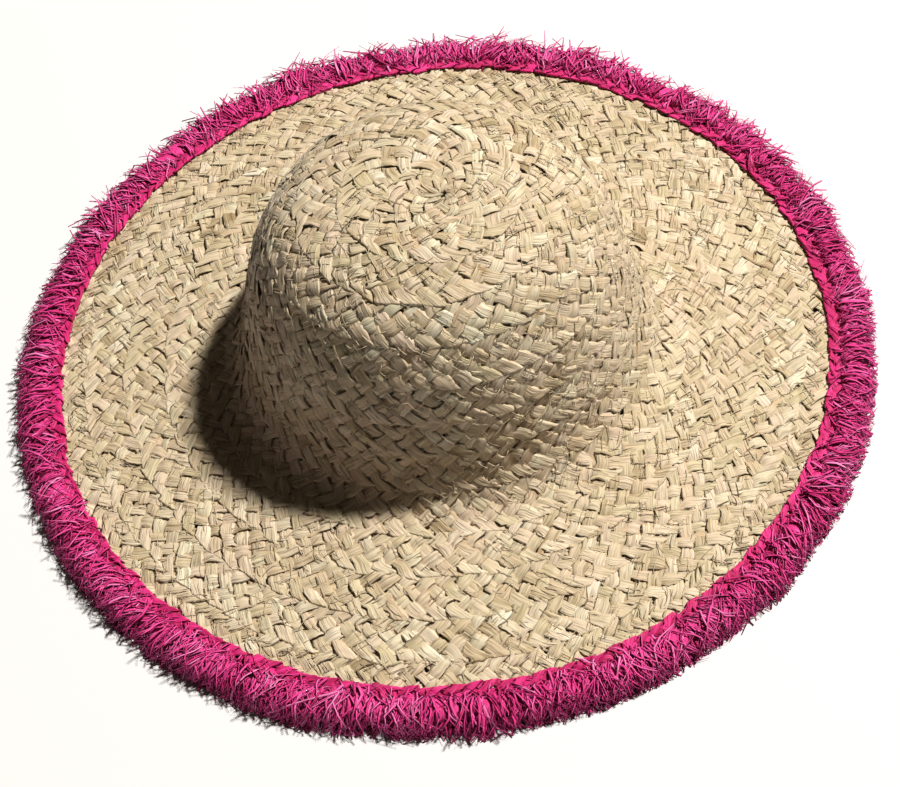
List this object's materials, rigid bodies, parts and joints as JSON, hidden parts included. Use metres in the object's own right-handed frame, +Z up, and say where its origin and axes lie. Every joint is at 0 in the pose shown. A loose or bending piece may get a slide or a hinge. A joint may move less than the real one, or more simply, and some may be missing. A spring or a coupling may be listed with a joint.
{
  "type": "straw sun hat",
  "caption": "Wide-brimmed sun hat sewn from natural raffia plait, with a rounded crown, a bright pink raffia fringe round the brim and a ribbon sweatband.",
  "frame": {"origin": "centre of the fringe's outline, on the plane that the hat's edge rests on", "axes": "+Z up through the crown, +X towards the back of the head, -Y towards one side"},
  "size_m": [0.425, 0.425, 0.1345],
  "materials": {
    "straw": "dry raffia fibre with a faint sheen",
    "sewing_thread": "spun sewing thread",
    "fringe_heading": "narrow plait of dyed raffia",
    "fringe_raffia": "dyed raffia fibre with a soft sheen",
    "ribbon": "ribbed grosgrain ribbon",
    "label": "plain woven satin label"
  },
  "bodies": {
    "root": {"straw_crown_tip": "straw", "straw_crown_row_1": "straw", "straw_crown_row_2": "straw", "straw_crown_row_3": "straw", "straw_crown_row_4": "straw", "straw_crown_row_5": "straw", "straw_crown_row_6": "straw", "straw_crown_row_7": "straw", "straw_brim_row_1": "straw", "straw_brim_row_2": "straw", "straw_brim_row_3": "straw", "straw_brim_row_4": "straw", "straw_brim_row_5": "straw", "seam_thread_1": "sewing_thread", "seam_thread_2": "sewing_thread", "seam_thread_3": "sewing_thread", "seam_thread_4": "sewing_thread", "seam_thread_5": "sewing_thread", "seam_thread_6": "sewing_thread", "seam_thread_7": "sewing_thread", "seam_thread_8": "sewing_thread", "seam_thread_9": "sewing_thread", "seam_thread_10": "sewing_thread", "seam_thread_11": "sewing_thread", "seam_thread_12": "sewing_thread", "fringe_heading_plait": "fringe_heading", "fringe_heading_thread": "fringe_raffia", "raffia_fringe": "fringe_raffia", "sweatband": "ribbon", "sweatband_thread": "sewing_thread", "sweatband_joint_tape": "ribbon", "size_label": "label"}
  },
  "joints": []
}
